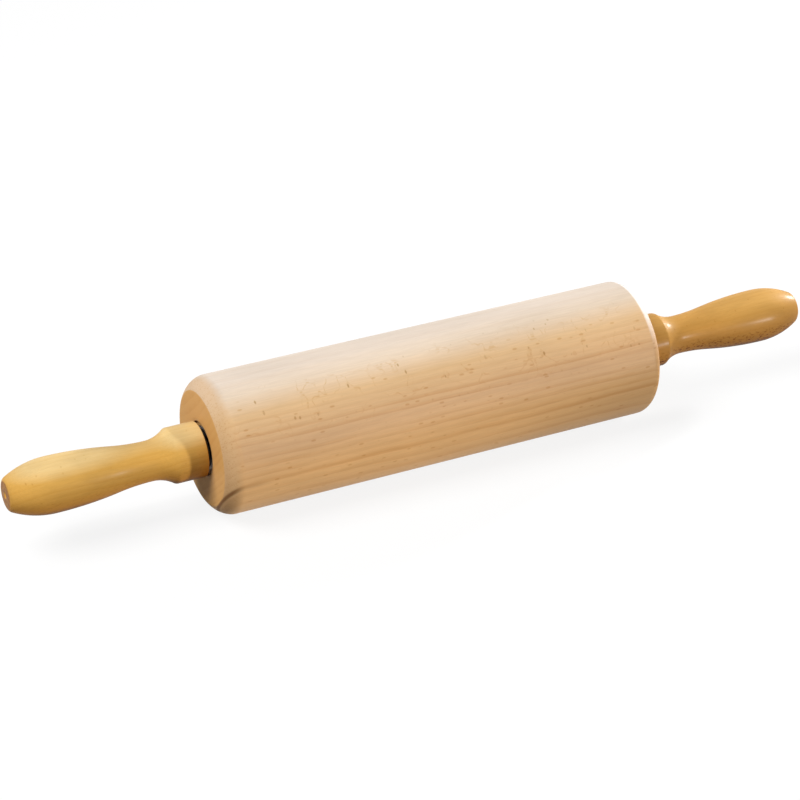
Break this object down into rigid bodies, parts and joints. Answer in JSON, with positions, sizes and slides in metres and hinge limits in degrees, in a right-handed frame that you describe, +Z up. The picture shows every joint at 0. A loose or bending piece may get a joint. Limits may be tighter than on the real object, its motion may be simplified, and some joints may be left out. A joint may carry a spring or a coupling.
{
  "type": "rolling pin",
  "caption": "Wooden rolling pin: a thick beech barrel with rounded shoulders that revolves on a steel axle between turned, lacquered handles.",
  "frame": {"origin": "middle of the barrel, on the pin's axis", "axes": "+X along the pin towards the right-hand handle, +Z up, +Y away from the cook"},
  "size_m": [0.44, 0.07, 0.07],
  "materials": {
    "raw_beech": "sanded, unfinished",
    "lacquered_beech": "clear amber gloss lacquer",
    "axle_steel": "bright drawn",
    "bearing_steel": "ground",
    "ball_steel": "polished",
    "shield_steel": "blackened",
    "cage_nylon": "moulded nylon",
    "clip_steel": "phosphated spring steel"
  },
  "bodies": {
    "handles": {"axle": "axle_steel", "handle_left": "lacquered_beech", "bearing_inner_ring_left": "bearing_steel", "spacer_left": "shield_steel", "retaining_ring_left": "clip_steel", "handle_right": "lacquered_beech", "bearing_inner_ring_right": "bearing_steel", "spacer_right": "shield_steel", "retaining_ring_right": "clip_steel"},
    "barrel": {"barrel": "raw_beech", "bearing_outer_ring_left": "bearing_steel", "outer_shield_left": "shield_steel", "inner_shield_left": "shield_steel", "bearing_outer_ring_right": "bearing_steel", "outer_shield_right": "shield_steel", "inner_shield_right": "shield_steel"},
    "ball_set_left": {"bearing_balls_left": "ball_steel", "bearing_cage_left": "cage_nylon"},
    "ball_set_right": {"bearing_balls_right": "ball_steel", "bearing_cage_right": "cage_nylon"}
  },
  "joints": [
    {"name": "barrel_spin", "type": "hinge", "parent": "handles", "child": "barrel", "pos_m": [0, 0, 0], "axis": [1, 0, 0], "continuous": true},
    {"name": "ball_orbit_left", "type": "hinge", "parent": "handles", "child": "ball_set_left", "pos_m": [-0.115, 0, 0], "axis": [1, 0, 0], "continuous": true},
    {"name": "ball_orbit_right", "type": "hinge", "parent": "handles", "child": "ball_set_right", "pos_m": [0.115, 0, 0], "axis": [1, 0, 0], "continuous": true}
  ],
  "couplings": [
    {"joint": "ball_orbit_left", "follows": "barrel_spin", "ratio": 0.6323},
    {"joint": "ball_orbit_right", "follows": "barrel_spin", "ratio": 0.6323}
  ]
}
